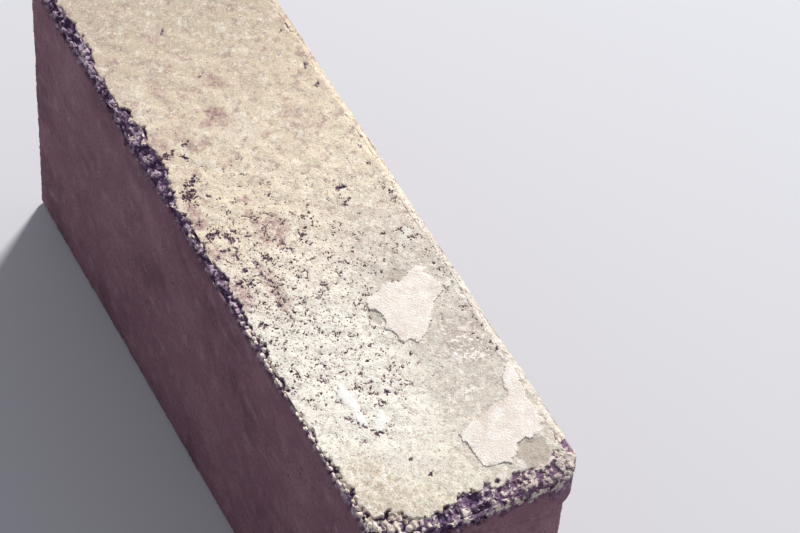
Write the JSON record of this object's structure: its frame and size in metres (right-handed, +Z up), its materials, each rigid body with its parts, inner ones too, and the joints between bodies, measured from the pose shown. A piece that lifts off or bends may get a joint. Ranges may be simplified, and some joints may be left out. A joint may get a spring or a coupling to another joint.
{
  "type": "clay brick",
  "caption": "Plain solid fired-clay brick with worn arrises, a broken corner and a thin lime wash on its upper face, standing on its long narrow face.",
  "frame": {"origin": "middle of the footprint, on the floor that the brick stands on", "axes": "+X along the brick's length, towards the end with the broken corner; +Y through its thickness; +Z up, across its width"},
  "size_m": [0.203, 0.057, 0.095],
  "materials": {
    "fired_clay": "matte, weathered"
  },
  "bodies": {
    "root": {"brick": "fired_clay"}
  },
  "joints": []
}
